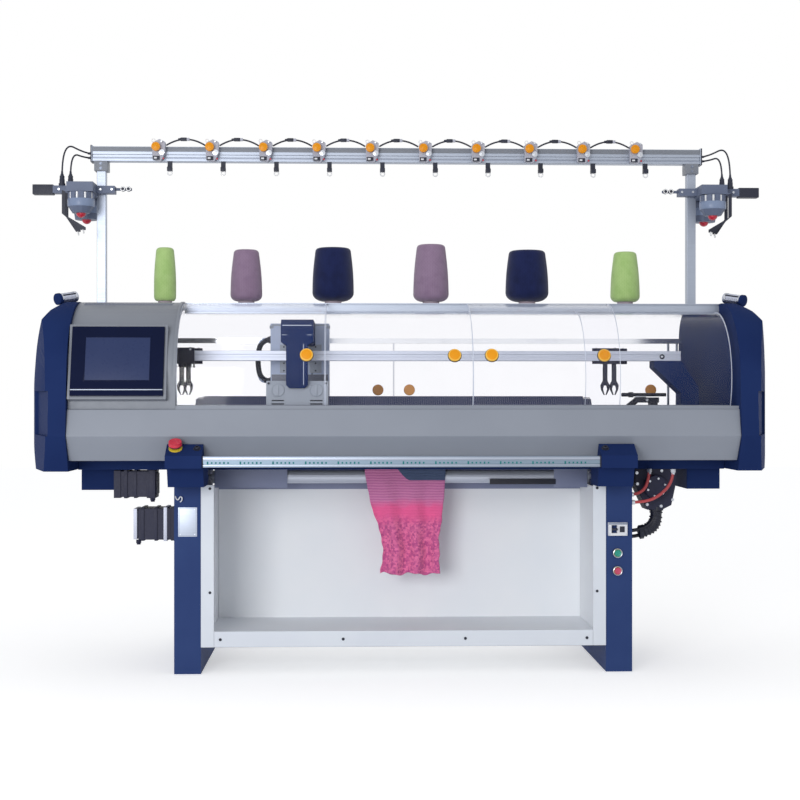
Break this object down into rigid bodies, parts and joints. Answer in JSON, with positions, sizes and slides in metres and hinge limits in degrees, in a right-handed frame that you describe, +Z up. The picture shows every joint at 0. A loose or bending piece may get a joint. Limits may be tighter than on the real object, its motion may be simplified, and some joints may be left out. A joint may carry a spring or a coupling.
{
  "type": "flat knitting machine",
  "caption": "Computerised flat knitting machine with sliding bent covers, V beds, travelling carriage, yarn rails, overhead tensioner beam, storage feeders and a fabric tray.",
  "frame": {"origin": "centre of the footprint on the floor, under the middle of the bounding box", "axes": "+X along the needle beds to the operator's right, -Y to the operator, +Z up"},
  "size_m": [2.6, 1, 1.8202],
  "materials": {
    "navy_paint": "satin powder coat",
    "leg_paint": "satin powder coat",
    "grey_paint": "satin enamel",
    "housing_plastic": "fine satin",
    "screen_plastic": "gloss",
    "acrylic": "clear bent acrylic",
    "aluminium": "anodised",
    "steel": "ground",
    "black_metal": "satin black",
    "white_sheet": "satin white",
    "red_plastic": "gloss",
    "collar_plastic": "satin",
    "green_plastic": "gloss",
    "stop_plastic": "gloss",
    "breaker_plastic": "satin",
    "dark_plastic": "satin",
    "orange_plastic": "gloss",
    "feeder_plastic": "satin",
    "tensioner_plastic": "satin",
    "hose_rubber": "satin",
    "cable_rubber": "satin",
    "green_yarn": "wound yarn",
    "mauve_yarn": "wound yarn",
    "navy_yarn": "wound yarn",
    "pink_knit": "knitted"
  },
  "bodies": {
    "frame": {"right_end_cover": "navy_paint", "left_end_cover": "navy_paint", "top_barrels": "black_metal", "front_panel": "grey_paint", "rear_panel": "grey_paint", "cover_tracks": "aluminium", "cone_table": "acrylic", "screen_housing": "housing_plastic", "touch_screen": "screen_plastic", "front_needle_bed": "steel", "rear_needle_bed": "steel", "base_beam": "navy_paint", "carriage_guides": "steel", "feeder_rails": "aluminium", "rail_brackets": "navy_paint", "left_leg": "leg_paint", "right_leg": "leg_paint", "breaker_box": "breaker_plastic", "bar_brackets": "navy_paint", "button_collars": "collar_plastic", "fabric_tray": "white_sheet", "tray_sides": "white_sheet", "drive_motors": "black_metal", "racking_drive": "black_metal", "gearbox_hoses": "hose_rubber", "gearbox_leads": "cable_rubber", "green_packages": "green_yarn", "mauve_packages": "mauve_yarn", "navy_packages": "navy_yarn", "overhead_beam": "aluminium", "posts": "aluminium", "tensioners": "tensioner_plastic", "tensioner_knobs": "orange_plastic", "yarn_eyelets": "dark_plastic", "storage_feeders": "feeder_plastic", "sensor_leads": "cable_rubber", "knitted_panel": "pink_knit"},
    "carriage": {"carriage_front": "housing_plastic", "carriage_rear": "housing_plastic", "carriage_bridge": "navy_paint"},
    "carrier_1": {"yarn_carrier_1": "black_metal"},
    "carrier_2": {"yarn_carrier_2": "black_metal"},
    "carrier_3": {"yarn_carrier_3": "black_metal"},
    "carrier_4": {"yarn_carrier_4": "black_metal"},
    "cover_1": {"front_cover_1": "acrylic"},
    "cover_2": {"front_cover_2": "acrylic"},
    "cover_3": {"front_cover_3": "acrylic"},
    "cover_4": {"front_cover_4": "acrylic"},
    "rear_left": {"rear_cover_left": "acrylic"},
    "rear_right": {"rear_cover_right": "acrylic"},
    "start_bar": {"operating_bar": "aluminium"},
    "estop": {"estop_head": "red_plastic"},
    "start": {"start_button": "green_plastic"},
    "stop": {"stop_button": "stop_plastic"},
    "breaker_lever": {"breaker_toggle": "dark_plastic"},
    "roller": {"takedown_roller": "aluminium"},
    "drum_left_front": {"left_front_drum": "feeder_plastic"},
    "drum_left_rear": {"left_rear_drum": "feeder_plastic"},
    "drum_right_front": {"right_front_drum": "feeder_plastic"},
    "drum_right_rear": {"right_rear_drum": "feeder_plastic"}
  },
  "joints": [
    {"name": "carriage_travel", "type": "slide", "parent": "frame", "child": "carriage", "axis": [1, 0, 0], "range_m": [-0.33, 1.06]},
    {"name": "carrier_1_travel", "type": "slide", "parent": "frame", "child": "carrier_1", "axis": [1, 0, 0], "range_m": [0, 1.53]},
    {"name": "carrier_2_travel", "type": "slide", "parent": "frame", "child": "carrier_2", "axis": [1, 0, 0], "range_m": [0, 1.51]},
    {"name": "carrier_3_travel", "type": "slide", "parent": "frame", "child": "carrier_3", "axis": [1, 0, 0], "range_m": [-1.42, 0.1]},
    {"name": "carrier_4_travel", "type": "slide", "parent": "frame", "child": "carrier_4", "axis": [1, 0, 0], "range_m": [-1.45, 0.07]},
    {"name": "cover_1_slide", "type": "slide", "parent": "frame", "child": "cover_1", "axis": [1, 0, 0], "range_m": [0, 0.455]},
    {"name": "cover_2_slide", "type": "slide", "parent": "frame", "child": "cover_2", "axis": [1, 0, 0], "range_m": [-0.455, 0]},
    {"name": "cover_3_slide", "type": "slide", "parent": "frame", "child": "cover_3", "axis": [1, 0, 0], "range_m": [0, 0.355]},
    {"name": "cover_4_slide", "type": "slide", "parent": "frame", "child": "cover_4", "axis": [1, 0, 0], "range_m": [-0.345, 0]},
    {"name": "rear_left_slide", "type": "slide", "parent": "frame", "child": "rear_left", "axis": [1, 0, 0], "range_m": [0, 1]},
    {"name": "rear_right_slide", "type": "slide", "parent": "frame", "child": "rear_right", "axis": [1, 0, 0], "range_m": [-1, 0]},
    {"name": "bar_tilt", "type": "hinge", "parent": "frame", "child": "start_bar", "pos_m": [-0.013, -0.478, 0.685], "axis": [1, 0, 0], "range_deg": [-12, 12]},
    {"name": "estop_push", "type": "slide", "parent": "frame", "child": "estop", "axis": [0, 0.4993, -0.8664], "range_m": [0, 0.004], "stiffness_N_per_m": 1500},
    {"name": "start_push", "type": "slide", "parent": "frame", "child": "start", "axis": [0, 1, 0], "range_m": [0, 0.004], "stiffness_N_per_m": 600},
    {"name": "stop_push", "type": "slide", "parent": "frame", "child": "stop", "axis": [0, 1, 0], "range_m": [0, 0.004], "stiffness_N_per_m": 600},
    {"name": "breaker_throw", "type": "hinge", "parent": "frame", "child": "breaker_lever", "pos_m": [0.686, -0.307, 0.46], "axis": [1, 0, 0], "range_deg": [-18, 18]},
    {"name": "roller_turn", "type": "hinge", "parent": "frame", "child": "roller", "pos_m": [0, -0.026, 0.615], "axis": [1, 0, 0], "continuous": true},
    {"name": "drum_left_front_turn", "type": "hinge", "parent": "frame", "child": "drum_left_front", "pos_m": [-1.12, 0.196, 1.6], "axis": [0, 0, 1], "continuous": true},
    {"name": "drum_left_rear_turn", "type": "hinge", "parent": "frame", "child": "drum_left_rear", "pos_m": [-1.134, 0.386, 1.6], "axis": [0, 0, 1], "continuous": true},
    {"name": "drum_right_front_turn", "type": "hinge", "parent": "frame", "child": "drum_right_front", "pos_m": [1.12, 0.196, 1.6], "axis": [0, 0, 1], "continuous": true},
    {"name": "drum_right_rear_turn", "type": "hinge", "parent": "frame", "child": "drum_right_rear", "pos_m": [1.134, 0.386, 1.6], "axis": [0, 0, 1], "continuous": true}
  ]
}
